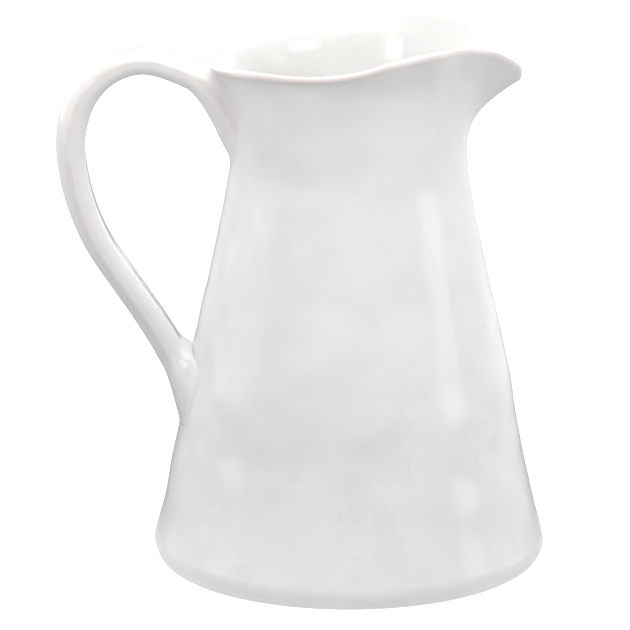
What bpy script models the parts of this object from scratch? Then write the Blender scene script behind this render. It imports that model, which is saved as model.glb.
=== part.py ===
"""A glazed ceramic pitcher with a pulled spout and a strap handle.

Frame: the origin is on the body's axis, on the plane that the foot stands on. +Z is up,
+X points towards the spout, and XZ is the mirror plane. Lengths are in metres.
"""

import math

import bmesh
import bpy
from mathutils import Vector

# Gap between pieces that are luted together, and the thickness of the slip between them.
GAP = 0.0003
SLIP_THICKNESS = 0.0010

# Outside of the turned body, from the heel to the neck: radius, height.
HEEL_HEIGHT = 0.0010
HEEL_RADIUS = 0.0096
BODY_OUTLINE = (
    (0.0885, 0.0106),
    (0.0828, 0.0320),
    (0.0778, 0.0550),
    (0.0730, 0.0850),
    (0.0663, 0.1150),
    (0.0592, 0.1450),
    (0.0543, 0.1700),
    (0.0525, 0.1880),
)
WALL_THICKNESS = 0.0056

# The mouth, from the spout round to the handle. The other half mirrors it:
# azimuth in degrees, outermost radius, top height, outward lean in degrees, lip thickness.
MOUTH = (
    (0, 0.0763, 0.2236, 57, 0.0062),
    (12, 0.0754, 0.2304, 50, 0.0058),
    (24, 0.0682, 0.2376, 36, 0.0050),
    (38, 0.0618, 0.2404, 24, 0.0045),
    (56, 0.0624, 0.2409, 24, 0.0044),
    (75, 0.0588, 0.2377, 22, 0.0044),
    (92, 0.0572, 0.2333, 24, 0.0044),
    (112, 0.0562, 0.2310, 28, 0.0044),
    (140, 0.0568, 0.2301, 34, 0.0044),
    (163, 0.0613, 0.2292, 40, 0.0044),
    (180, 0.0628, 0.2287, 43, 0.0044),
)
FLARE_START_SHARE = 0.50
FLARE_END_SHARE = 0.63

# Floor disc and foot ring.
SEAM_RADIUS = 0.0745
FLOOR_UNDERSIDE = 0.0015
FLOOR_THICKNESS = 0.0062
FLOOR_CORNER_RADIUS = 0.0040
FOOT_INNER_RADIUS = 0.0625
FOOT_HEIGHT = 0.0032
FOOT_ROUNDING = 0.0005

# Strap handle, from the tongue on the neck over the bow to the tail on the body:
# middle of the strap (x, z), width, thickness at the crown.
STRAP = (
    (-0.0470, 0.1870, 0.0200, 0.0090),
    (-0.0505, 0.1950, 0.0225, 0.0122),
    (-0.0554, 0.2060, 0.0245, 0.0126),
    (-0.0637, 0.2178, 0.0240, 0.0124),
    (-0.0725, 0.2248, 0.0225, 0.0117),
    (-0.0907, 0.2299, 0.0220, 0.0113),
    (-0.1070, 0.2250, 0.0220, 0.0119),
    (-0.1182, 0.2125, 0.0220, 0.0127),
    (-0.1228, 0.1930, 0.0220, 0.0130),
    (-0.1194, 0.1690, 0.0220, 0.0128),
    (-0.1113, 0.1481, 0.0220, 0.0126),
    (-0.0990, 0.1290, 0.0220, 0.0125),
    (-0.0869, 0.1107, 0.0222, 0.0126),
    (-0.0793, 0.0967, 0.0240, 0.0126),
    (-0.0759, 0.0850, 0.0280, 0.0104),
    (-0.0746, 0.0748, 0.0300, 0.0078),
    (-0.0736, 0.0660, 0.0220, 0.0028),
)
# The strap's section. The crown's height is a share of the thickness, the inner corners'
# rounding and the outer corners' easing are shares of what is left, and each point of the
# crown is a share of the half width and of the crown's height.
STRAP_CROWN_SHARE = 0.28
STRAP_CORNER_SHARE = 0.30
STRAP_CORNER_INSET = 0.29
STRAP_EDGE_EASING = (0.4, 0.5)
STRAP_CROWN_POINTS = ((0.60, 0.62), (0.30, 0.91))
STRAP_EDGE_RISE = 0.12

# How far the slip is smeared past the strap at each end: across the strap, and through it.
UPPER_SMEAR = (0.0030, 0.0030)
LOWER_SMEAR = (0.0090, 0.0030)
# The stretch of the strap's path, first and last point, that each bed of slip follows.
UPPER_SLIP_STATIONS = (0, 4)
LOWER_SLIP_STATIONS = (13, 16)

# Facets: round the body, along each stretch of the outline, up the flare, over the lip
# and from each point of the strap's path to the next.
AZIMUTH_STEPS = 64
OUTLINE_STEPS = 2
HEEL_STEPS = 4
FLARE_STEPS = 6
LIP_STEPS = 4
CORNER_STEPS = 3
STRAP_STEPS = 2
SMOOTH_ANGLE = 40
PLUG_CORE_RADIUS = 0.0100

GLAZE = ("glaze", (0.86, 0.855, 0.84, 1.0), 0.16)
SLIP = ("glazed_slip", (0.84, 0.83, 0.81, 1.0), 0.22)
CLAY = ("bare_clay", (0.66, 0.55, 0.45, 1.0), 0.85)


def clear_scene():
    for item in list(bpy.data.objects):
        bpy.data.objects.remove(item, do_unlink=True)


def ceramic(name, colour, roughness):
    material = bpy.data.materials.get(name) or bpy.data.materials.new(name)
    material.use_nodes = True
    shader = material.node_tree.nodes["Principled BSDF"]
    shader.inputs["Base Color"].default_value = colour
    shader.inputs["Roughness"].default_value = roughness
    shader.inputs["Metallic"].default_value = 0.0
    return material


def ease(start, end, start_slope, end_slope, share):
    """The number at share between start and end, on the curve with these slopes at its ends."""
    a = 2 * start - 2 * end + start_slope + end_slope
    b = 3 * end - 3 * start - 2 * start_slope - end_slope
    return ((a * share + b) * share + start_slope) * share + start


def smooth_between(before, start, end, after, share):
    """The point at share between start and end, on the smooth curve through all four."""
    values = []
    for p0, p1, p2, p3 in zip(before, start, end, after):
        values.append(ease(p1, p2, (p2 - p0) / 2, (p3 - p1) / 2, share))
    return values


def smooth_through(rows, steps):
    """The smooth curve through rows, with this many steps from each row to the next."""
    points = []
    last = len(rows) - 1
    for i in range(last):
        for step in range(steps):
            points.append(
                smooth_between(
                    rows[max(i - 1, 0)], rows[i], rows[i + 1], rows[min(i + 2, last)], step / steps
                )
            )
    points.append(list(rows[last]))
    return points


def mouth_at(azimuth):
    """Radius, height, lean and lip thickness of the mouth at an azimuth in degrees."""
    turned = abs((azimuth + 180) % 360 - 180)
    i = max(j for j in range(len(MOUTH) - 1) if MOUTH[j][0] <= turned)
    before = MOUTH[i - 1] if i > 0 else (-MOUTH[1][0], *MOUTH[1][1:])
    after = MOUTH[i + 2] if i + 2 < len(MOUTH) else (360 - MOUTH[-2][0], *MOUTH[-2][1:])
    start, end = MOUTH[i], MOUTH[i + 1]
    span = end[0] - start[0]
    share = (turned - start[0]) / span
    values = []
    for column in range(1, len(start)):
        start_slope = (end[column] - before[column]) / (end[0] - before[0]) * span
        end_slope = (after[column] - start[column]) / (after[0] - start[0]) * span
        values.append(ease(start[column], end[column], start_slope, end_slope, share))
    return values


def arc(centre, radius, start, end, steps):
    """Points on a circle in the meridian plane, both ends included, angles in degrees."""
    points = []
    for step in range(steps + 1):
        angle = math.radians(start + (end - start) * step / steps)
        points.append((centre[0] + radius * math.cos(angle), centre[1] + radius * math.sin(angle)))
    return points


def bezier(p0, p1, p2, p3, steps):
    """Points on a cubic curve, without its first one."""
    points = []
    for step in range(1, steps + 1):
        t = step / steps
        w = ((1 - t) ** 3, 3 * t * (1 - t) ** 2, 3 * t * t * (1 - t), t**3)
        points.append(
            tuple(w[0] * a + w[1] * b + w[2] * c + w[3] * d for a, b, c, d in zip(p0, p1, p2, p3))
        )
    return points


def lip_middle(azimuth):
    """The middle of the lip's rounding, with the wall's direction there and the lip's thickness."""
    radius, height, lean, lip = mouth_at(azimuth)
    lean = math.radians(lean)
    middle = (radius - lip / 2, height - lip / 2)
    return middle, (math.sin(lean), math.cos(lean)), lip


def outside(azimuth):
    """The outer face in one meridian plane, from the heel to the lip: radius, height."""
    heel_middle = (BODY_OUTLINE[0][0] - HEEL_RADIUS, HEEL_HEIGHT + HEEL_RADIUS)
    heel = arc(heel_middle, HEEL_RADIUS, -90, 0, HEEL_STEPS)
    body = [tuple(p) for p in smooth_through(BODY_OUTLINE, OUTLINE_STEPS)][1:]
    middle, along, lip_thickness = lip_middle(azimuth)
    end = (middle[0] + along[1] * lip_thickness / 2, middle[1] - along[0] * lip_thickness / 2)
    neck_radius, neck_height = BODY_OUTLINE[-1]
    rise = FLARE_START_SHARE * (end[1] - neck_height)
    reach = FLARE_END_SHARE * (end[0] - neck_radius) / along[0]
    flare = bezier(
        (neck_radius, neck_height),
        (neck_radius, neck_height + rise),
        (end[0] - reach * along[0], end[1] - reach * along[1]),
        end,
        FLARE_STEPS,
    )
    return heel + body + flare


def offset(points, distances):
    """The polyline with each point moved to its right, looking from the first to the last."""
    moved = []
    for i, (point, distance) in enumerate(zip(points, distances)):
        before = points[max(i - 1, 0)]
        after = points[min(i + 1, len(points) - 1)]
        along = Vector((after[0] - before[0], after[1] - before[1])).normalized()
        moved.append((point[0] + along.y * distance, point[1] - along.x * distance))
    return moved


def lip(azimuth):
    """The rounding over the lip, from the outer face to the inner one, without its ends."""
    middle, along, thickness = lip_middle(azimuth)
    start = math.degrees(math.atan2(-along[0], along[1]))
    return arc(middle, thickness / 2, start, start + 180, LIP_STEPS)[1:-1]


def wall_section(azimuth):
    """The closed section of the wall in one meridian plane."""
    outer = outside(azimuth)
    lip_thickness = lip_middle(azimuth)[2]
    thicknesses = [WALL_THICKNESS] * (len(outer) - FLARE_STEPS)
    for step in range(1, FLARE_STEPS + 1):
        share = step / FLARE_STEPS
        thicknesses.append(WALL_THICKNESS + (lip_thickness - WALL_THICKNESS) * share)
    inner = offset(outer, [-thickness for thickness in thicknesses])[::-1]
    corner_top = FLOOR_UNDERSIDE + FLOOR_THICKNESS + FLOOR_CORNER_RADIUS
    flare = inner[:FLARE_STEPS]
    body = [p for p in inner[FLARE_STEPS::OUTLINE_STEPS] if p[1] > corner_top]
    corner_middle = (body[-1][0] - FLOOR_CORNER_RADIUS, corner_top)
    corner = arc(corner_middle, FLOOR_CORNER_RADIUS, 0, -90, CORNER_STEPS)
    seam = [(SEAM_RADIUS, corner[-1][1]), (SEAM_RADIUS, HEEL_HEIGHT)]
    return outer + lip(azimuth) + flare + body + corner + seam


def ring_at(azimuth, section):
    angle = math.radians(azimuth)
    return [Vector((r * math.cos(angle), r * math.sin(angle), z)) for r, z in section]


def loft(name, rings, joined, material):
    """A closed body through rings of points: the last ring joins the first, or both are capped."""
    bm = bmesh.new()
    loops = []
    for ring in rings:
        verts = [bm.verts.new(point) for point in ring]
        loops.append([bm.edges.new((verts[i - 1], verts[i])) for i in range(len(verts))])
    if joined:
        loops.append(loops[0])
    for first, second in zip(loops, loops[1:]):
        bmesh.ops.bridge_loops(bm, edges=first + second)
    if not joined:
        bmesh.ops.holes_fill(bm, edges=loops[0] + loops[-1], sides=0)
    bmesh.ops.recalc_face_normals(bm, faces=bm.faces)
    mesh = bpy.data.meshes.new(name)
    bm.to_mesh(mesh)
    bm.free()
    mesh.shade_smooth()
    mesh.set_sharp_from_angle(angle=math.radians(SMOOTH_ANGLE))
    mesh.materials.append(material)
    piece = bpy.data.objects.new(name, mesh)
    bpy.context.collection.objects.link(piece)
    return piece


def turned(name, section, material):
    """A body of revolution about Z, from a closed section of radius and height."""
    azimuths = [360 * i / AZIMUTH_STEPS for i in range(AZIMUTH_STEPS)]
    return loft(name, [ring_at(a, section) for a in azimuths], True, material)


def disc(name, section, material):
    """A solid disc about Z, whose section runs from its underside to its top."""
    rings = []
    for radius, height in section:
        angles = [math.tau * i / AZIMUTH_STEPS for i in range(AZIMUTH_STEPS)]
        rings.append([Vector((radius * math.cos(a), radius * math.sin(a), height)) for a in angles])
    return loft(name, rings, False, material)


def make_wall(material):
    azimuths = [360 * i / AZIMUTH_STEPS for i in range(AZIMUTH_STEPS)]
    return loft("vessel_wall", [ring_at(a, wall_section(a)) for a in azimuths], True, material)


def make_floor(material):
    radius = SEAM_RADIUS - GAP
    groove_radius = FOOT_INNER_RADIUS - GAP
    groove_top = FOOT_HEIGHT + GAP
    top = FLOOR_UNDERSIDE + FLOOR_THICKNESS
    section = (
        (groove_radius, FLOOR_UNDERSIDE),
        (groove_radius, groove_top),
        (radius, groove_top),
        (radius, top),
    )
    return disc("base_disc", section, material)


def make_foot(material):
    inner = FOOT_INNER_RADIUS
    outer = SEAM_RADIUS - GAP
    section = (
        (inner + FOOT_ROUNDING, 0.0),
        (outer - FOOT_ROUNDING, 0.0),
        (outer, FOOT_ROUNDING),
        (outer, FOOT_HEIGHT),
        (inner, FOOT_HEIGHT),
        (inner, FOOT_ROUNDING),
    )
    return turned("foot_ring", section, material)


def make_plug(name, clearance):
    """A cutter: the outside of the whole body, swollen by a clearance and filled in."""
    sections = []
    for i in range(AZIMUTH_STEPS):
        azimuth = 360 * i / AZIMUTH_STEPS
        skin = outside(azimuth) + lip(azimuth)
        skin = offset(skin, [clearance] * len(skin))
        bottom = (PLUG_CORE_RADIUS, skin[0][1])
        top = (PLUG_CORE_RADIUS, skin[-1][1])
        sections.append(ring_at(azimuth, [bottom] + skin + [top]))
    plug = loft(name, list(zip(*sections)), False, ceramic(*SLIP))
    plug.hide_render = True
    plug.display_type = "WIRE"
    return plug


def strap_section(width, thickness):
    """The strap's closed section: across it, and out from its middle. The outer face is crowned."""
    half = width / 2
    crown = STRAP_CROWN_SHARE * thickness
    corner = STRAP_CORNER_SHARE * (thickness - crown)
    inset = STRAP_CORNER_INSET * corner
    inner = -thickness / 2
    shoulder = thickness / 2 - crown
    right = [
        (half / 2, inner),
        (half - corner, inner),
        (half - inset, inner + inset),
        (half, inner + corner),
        (half, shoulder - STRAP_EDGE_EASING[1] * corner),
        (half - STRAP_EDGE_EASING[0] * corner, shoulder + STRAP_EDGE_RISE * crown),
    ]
    right += [(half * across, shoulder + crown * rise) for across, rise in STRAP_CROWN_POINTS]
    left = [(-across, out) for across, out in reversed(right)]
    return [(0.0, inner)] + right + [(0.0, thickness / 2)] + left


def strap_rings(stations, smear):
    """Rings of points along the strap's path, grown by a smear across the strap and through it."""
    rows = smooth_through(stations, STRAP_STEPS)
    rings = []
    for i, (x, z, width, thickness) in enumerate(rows):
        before = rows[max(i - 1, 0)]
        after = rows[min(i + 1, len(rows) - 1)]
        along = Vector((after[0] - before[0], 0.0, after[1] - before[1])).normalized()
        out = Vector((along.z, 0.0, -along.x))
        section = strap_section(width + 2 * smear[0], thickness + 2 * smear[1])
        middle = Vector((x, 0.0, z))
        rings.append([middle + Vector((0.0, a, 0.0)) + out * o for a, o in section])
    return rings


def cut(piece, cutter, operation):
    modifier = piece.modifiers.new(f"{operation.lower()}_{cutter.name}", "BOOLEAN")
    modifier.operation = operation
    modifier.solver = "EXACT"
    modifier.object = cutter


def make_handle(plug, material):
    handle = loft("handle", strap_rings(STRAP, (0.0, 0.0)), False, material)
    cut(handle, plug, "DIFFERENCE")
    return handle


def make_slip(name, stations, smear, outer_plug, inner_plug, material):
    """The thin bed of slip under one end of the strap, with its smeared edge."""
    first, last = stations
    slip = loft(name, strap_rings(STRAP[first : last + 1], smear), False, material)
    cut(slip, inner_plug, "DIFFERENCE")
    cut(slip, outer_plug, "INTERSECT")
    return slip


def main():
    clear_scene()
    glaze = ceramic(*GLAZE)
    slip = ceramic(*SLIP)
    clay = ceramic(*CLAY)
    make_wall(glaze)
    make_floor(glaze)
    make_foot(clay)
    slip_inner = make_plug("cutter_slip_inner", GAP)
    slip_outer = make_plug("cutter_slip_outer", GAP + SLIP_THICKNESS)
    handle_bed = make_plug("cutter_handle", 2 * GAP + SLIP_THICKNESS)
    make_handle(handle_bed, glaze)
    make_slip("upper_slip_joint", UPPER_SLIP_STATIONS, UPPER_SMEAR, slip_outer, slip_inner, slip)
    make_slip("lower_slip_joint", LOWER_SLIP_STATIONS, LOWER_SMEAR, slip_outer, slip_inner, slip)


main()
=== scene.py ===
"""The looks of a glazed ceramic pitcher, built round its CAD frame.

The body and the foot are thrown by one Geometry Nodes tree, which turns a section round
the axis and lets its upper stretch flare out to a wavy, pouring rim. A second tree pulls
the strap handle along its path and smears both of its ends onto the body. The sizes in
the classes of the pieces are in drawn millimetres, which main() scales to the CAD frame.
Sizes in the finishes and the studio are in metres.
"""

import logging
import math
from bisect import bisect_right
from collections.abc import Iterable, Sequence
from dataclasses import dataclass
from enum import Enum

import bmesh
import bpy
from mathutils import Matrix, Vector


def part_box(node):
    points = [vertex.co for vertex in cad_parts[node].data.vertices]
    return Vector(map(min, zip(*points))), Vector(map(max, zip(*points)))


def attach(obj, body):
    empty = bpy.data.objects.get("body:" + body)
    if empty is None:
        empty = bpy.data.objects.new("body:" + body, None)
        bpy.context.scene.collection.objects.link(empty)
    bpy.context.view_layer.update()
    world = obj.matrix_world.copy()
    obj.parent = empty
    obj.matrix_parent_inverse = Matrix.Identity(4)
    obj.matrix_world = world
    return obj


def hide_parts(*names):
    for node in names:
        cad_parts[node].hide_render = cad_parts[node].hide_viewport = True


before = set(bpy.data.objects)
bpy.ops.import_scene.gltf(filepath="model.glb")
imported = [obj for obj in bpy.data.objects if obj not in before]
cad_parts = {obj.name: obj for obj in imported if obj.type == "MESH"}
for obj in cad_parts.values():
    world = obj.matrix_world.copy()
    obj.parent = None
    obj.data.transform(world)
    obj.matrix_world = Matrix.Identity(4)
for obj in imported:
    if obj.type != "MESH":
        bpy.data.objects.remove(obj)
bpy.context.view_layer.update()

log = logging.getLogger("pitcher")

Row = Sequence[float]
Socket = bpy.types.NodeSocket
Value = Socket | float | int | str | Sequence[float]
Inputs = dict[str | int, Value]
Colour = tuple[float, float, float, float]

# The body's widest part, across its heel, in drawn millimetres.
DRAWN_WIDTH = 177.0
# The level of the soft noise that leaves the clay where it is drawn: lower noise dents it.
PROUD = 0.62
# Points this close, in metres, are one point once a grid is wrapped round.
WELD = 1e-6
# The flare of a ring that stays as it is drawn. A flaring ring's first number is 0 to 1.
AS_DRAWN: Row = (-1.0, 0.0, 0.0)
# How much closer together the thumb's dimples lie along each axis of the body.
DIMPLE_SQUASH: Row = (1.0, 1.0, 1.35)
# Shares of the ridge height between which the strap's broken glaze grows, and its least share.
RIDGE_FADE: Row = (0.7, 1.05, 0.12)
# How far from the body, in metres, a smeared joint is still smoothed.
JOINT_BAND = 0.012
# How far sideways the strap's skin has to face before its joint spreads in full.
SPREAD_FACING = 0.6


class Slot(Enum):
    """The record's material slots that a piece can take its finish from."""

    BODY = "glaze"
    STRAP = "handle_glaze"
    FOOT = "bare_clay"


def follow(rows: Sequence[Row], at: float) -> list[float]:
    """Read a smooth curve that passes through every row.

    Args:
        rows: Rows of numbers whose first column rises.
        at: The place along the first column.

    Returns:
        The other columns at that place.
    """
    last = len(rows) - 1
    i = min(max(bisect_right([row[0] for row in rows], at) - 1, 0), last - 1)
    before, start, end, after = rows[max(i - 1, 0)], rows[i], rows[i + 1], rows[min(i + 2, last)]
    span = end[0] - start[0]
    share = (at - start[0]) / span
    values = []
    for column in range(1, len(start)):
        slope1 = (end[column] - before[column]) / (end[0] - before[0]) * span
        slope2 = (after[column] - start[column]) / (after[0] - start[0]) * span
        rise = end[column] - start[column]
        a = slope1 + slope2 - 2 * rise
        b = 3 * rise - 2 * slope1 - slope2
        values.append(((a * share + b) * share + slope1) * share + start[column])
    return values


def steps(start: float, end: float, count: int) -> list[float]:
    """Return count + 1 evenly spaced values from start to end, both included."""
    return [start + (end - start) * i / count for i in range(count + 1)]


def arc(centre: Row, radii: Row, start: float, end: float, count: int) -> list[Row]:
    """Return count + 1 points of an upright ellipse, from start to end in degrees."""
    angles = [math.radians(angle) for angle in steps(start, end, count)]
    x, y = centre
    return [(x + radii[0] * math.cos(a), y + radii[1] * math.sin(a)) for a in angles]


def turned(at: float, depth: float, pitch: float) -> float:
    """Return how high the turned surface stands at a place, between 0 and the depth."""
    return depth / 2 * (1 - math.cos(at * math.tau / pitch))


class Graph:
    """Adds nodes to one node tree and wires them."""

    def __init__(self, tree: bpy.types.NodeTree) -> None:
        """Keep the tree that the nodes go into."""
        self.tree = tree

    def declare(self, kind: str, *names: str, output: bool = False) -> None:
        """Give the tree named inputs of one kind, or named outputs."""
        way = "OUTPUT" if output else "INPUT"
        for name in names:
            self.tree.interface.new_socket(name, in_out=way, socket_type=f"NodeSocket{kind}")

    def feed(self, node: bpy.types.Node, inputs: Inputs) -> None:
        """Give each of these inputs of a node another node's output, or a plain value."""
        for name, value in inputs.items():
            if isinstance(value, bpy.types.NodeSocket):
                self.tree.links.new(value, node.inputs[name])
            else:
                node.inputs[name].default_value = value

    def add(self, kind: str, inputs: Inputs | None = None, **settings: object) -> bpy.types.Node:
        """Add a node.

        Args:
            kind: The node's type.
            inputs: What feeds each input: another node's output, or a plain value.
            settings: The node's own properties, which are set first.

        Returns:
            The new node.
        """
        node = self.tree.nodes.new(kind)
        for name, value in settings.items():
            setattr(node, name, value)
        self.feed(node, inputs or {})
        return node

    def math(self, operation: str, *values: Value) -> Socket:
        """Add a number sum and return its result."""
        inputs = dict(enumerate(values))
        return self.add("ShaderNodeMath", inputs, operation=operation).outputs[0]

    def vector(self, operation: str, *values: Value) -> Socket:
        """Add a vector sum and return its result, a number for a length or a dot product."""
        node = self.add("ShaderNodeVectorMath", dict(enumerate(values)), operation=operation)
        return node.outputs["Value" if operation in ("LENGTH", "DOT_PRODUCT") else "Vector"]

    def scale(self, vector: Value, factor: Value) -> Socket:
        """Return the vector times the factor."""
        node = self.add("ShaderNodeVectorMath", {0: vector, "Scale": factor}, operation="SCALE")
        return node.outputs["Vector"]

    def mix(self, start: Value, end: Value, share: Value) -> Socket:
        """Return the vector that lies at share of the way from start to end."""
        inputs = {0: share, 4: start, 5: end}
        return self.add("ShaderNodeMix", inputs, data_type="VECTOR", clamp_factor=False).outputs[1]

    def tint(self, under: Value, over: Value, mask: Value) -> Socket:
        """Return the colour under, with the colour over laid on it where the mask is 1."""
        return self.add("ShaderNodeMix", {0: mask, 6: under, 7: over}, data_type="RGBA").outputs[2]

    def split(self, vector: Value) -> tuple[Socket, Socket, Socket]:
        """Return a vector's three parts."""
        return tuple(self.add("ShaderNodeSeparateXYZ", {0: vector}).outputs)

    def join(self, x: Value = 0.0, y: Value = 0.0, z: Value = 0.0) -> Socket:
        """Return the vector with these three parts."""
        return self.add("ShaderNodeCombineXYZ", {0: x, 1: y, 2: z}).outputs[0]

    def ramp(
        self, value: Value, low: float, high: float, start: Value = 0.0, end: Value = 1.0
    ) -> Socket:
        """Return start below low, end above high and a smooth rise between them."""
        inputs = {"Value": value, "From Min": low, "From Max": high, "To Min": start, "To Max": end}
        return self.add("ShaderNodeMapRange", inputs, interpolation_type="SMOOTHSTEP").outputs[0]

    def noise(self, place: Value, size: Value, detail: float = 0.0, rough: float = 0.5) -> Socket:
        """Return soft noise from about 0 to 1, whose lumps are about one size across."""
        scale = self.math("DIVIDE", 1.0, size)
        inputs = {"Vector": place, "Scale": scale, "Detail": detail, "Roughness": rough}
        return self.add("ShaderNodeTexNoise", inputs).outputs[0]

    def geometry_of(self, guide: Socket) -> Socket:
        """Return the geometry of an object."""
        return self.add("GeometryNodeObjectInfo", {"Object": guide}).outputs["Geometry"]

    def look_up(self, geometry: Socket, name: str, index: Value) -> Socket:
        """Read a vector attribute of a guide's point.

        Args:
            geometry: The guide.
            name: The attribute's name.
            index: The point's number.

        Returns:
            The attribute's value there.
        """
        kind = "FLOAT_VECTOR"
        value = self.add("GeometryNodeInputNamedAttribute", {"Name": name}, data_type=kind)
        inputs = {"Geometry": geometry, "Value": value.outputs[0], "Index": index}
        node = self.add("GeometryNodeSampleIndex", inputs, data_type=kind, domain="POINT")
        return node.outputs[0]

    def store(self, geometry: Socket, **values: Socket) -> Socket:
        """Return the geometry with each value kept on its points as a named number."""
        kind = "GeometryNodeStoreNamedAttribute"
        for name, value in values.items():
            inputs = {"Geometry": geometry, "Name": name, "Value": value}
            geometry = self.add(kind, inputs, data_type="FLOAT", domain="POINT").outputs[0]
        return geometry

    def stored(self, name: str) -> Socket:
        """Return a number that is kept on the points."""
        node = self.add("GeometryNodeInputNamedAttribute", {"Name": name}, data_type="FLOAT")
        return node.outputs[0]

    def move(self, geometry: Socket, **to: Socket) -> Socket:
        """Return the geometry with its points moved to a Position, or by an Offset."""
        return self.add("GeometryNodeSetPosition", {"Geometry": geometry, **to}).outputs[0]

    def weld(self, geometry: Socket) -> Socket:
        """Return the geometry closed where its points meet."""
        inputs = {"Geometry": geometry, "Distance": WELD}
        return self.add("GeometryNodeMergeByDistance", inputs).outputs[0]

    def hand_out(self, geometry: Socket, material: Socket) -> None:
        """End a tree with the geometry as real, dressed faces."""
        for kind, inputs in (
            ("GeometryNodeRealizeInstances", {}),
            ("GeometryNodeSetMaterial", {"Material": material}),
        ):
            geometry = self.add(kind, {"Geometry": geometry, **inputs}).outputs[0]
        self.add("NodeGroupOutput", {"Geometry": geometry})


def make_guide(name: str, points: Iterable[Row], **attributes: Iterable[Row]) -> bpy.types.Object:
    """Make the loose points that a tree reads its shape from.

    Args:
        name: The guide's name.
        points: Where its points are.
        attributes: A vector for each point, under each name.

    Returns:
        The guide, which is removed once the shape is baked.
    """
    mesh = bpy.data.meshes.new(name)
    mesh.from_pydata([tuple(point) for point in points], [], [])
    for key, values in attributes.items():
        layer = mesh.attributes.new(key, "FLOAT_VECTOR", "POINT")
        layer.data.foreach_set("vector", [number for value in values for number in value])
    return bpy.data.objects.new(name, mesh)


def bake(name: str, tree: bpy.types.NodeTree, values: dict[str, object]) -> bpy.types.Object:
    """Run a tree once and keep what it makes as a plain mesh.

    Args:
        name: The finished piece's name.
        tree: The Geometry Nodes tree.
        values: The value of each of its named inputs.

    Returns:
        The piece, in place and facing outwards.
    """
    maker = bpy.data.objects.new(f"{name}_maker", bpy.data.meshes.new(f"{name}_maker"))
    bpy.context.scene.collection.objects.link(maker)
    modifier = maker.modifiers.new("shape", "NODES")
    modifier.node_group = tree
    for socket in tree.interface.items_tree:
        if socket.in_out == "INPUT":
            modifier[socket.identifier] = values[socket.name]
    evaluated = maker.evaluated_get(bpy.context.evaluated_depsgraph_get())
    mesh = bpy.data.meshes.new_from_object(evaluated)
    maker.modifiers.remove(modifier)
    bpy.data.objects.remove(maker)
    mesh.name = name
    bm = bmesh.new()
    bm.from_mesh(mesh)
    bmesh.ops.recalc_face_normals(bm, faces=bm.faces)
    bm.to_mesh(mesh)
    bm.free()
    piece = bpy.data.objects.new(name, mesh)
    bpy.context.scene.collection.objects.link(piece)
    return piece


def unevenness(mm: float, wander: Row, dimple: Row) -> dict[str, float]:
    """Return a tree's inputs for wander and dimples, each given as a depth and a size."""
    names = ("Wander", "Wander Size", "Dimple", "Dimple Size")
    return {name: length * mm for name, length in zip(names, (*wander, *dimple))}


def wrapped_grid(g: Graph, put: bpy.types.NodeOutputs) -> tuple[Socket, Socket, Socket]:
    """Lay out the skin of a piece that closes on itself.

    Args:
        g: The graph that the nodes go into.
        put: The tree's inputs, with Rings and Columns.

    Returns:
        The grid, whose last column lies on its first, and the number of the ring and of
        the column that a point belongs to.
    """
    wrapped = g.math("ADD", put["Columns"], 1)
    inputs = {"Vertices X": wrapped, "Vertices Y": put["Rings"]}
    grid = g.add("GeometryNodeMeshGrid", inputs).outputs["Mesh"]
    index = g.add("GeometryNodeInputIndex").outputs[0]
    count = g.math("FLOOR", g.math("DIVIDE", g.math("ADD", index, 0.5), put["Rings"]))
    ring = g.math("SUBTRACT", index, g.math("MULTIPLY", count, put["Rings"]))
    return grid, ring, g.math("MODULO", count, put["Columns"])


def dents(
    g: Graph, put: bpy.types.NodeOutputs, place: Socket, squash: Row = (1.0, 1.0, 1.0)
) -> Socket:
    """Work out the unevenness of a skin that was made by hand.

    Args:
        g: The graph that the nodes go into.
        put: The tree's inputs, with Wander, Dimple and the size of each.
        place: Where the skin is.
        squash: How much closer together the dimples lie along each axis.

    Returns:
        How far the skin moves out.
    """
    parts = []
    for name, at in (("Wander", place), ("Dimple", g.vector("MULTIPLY", place, squash))):
        level = g.math("SUBTRACT", g.noise(at, put[f"{name} Size"]), PROUD)
        parts.append(g.math("MULTIPLY", level, put[name]))
    return g.math("ADD", *parts)


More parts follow.
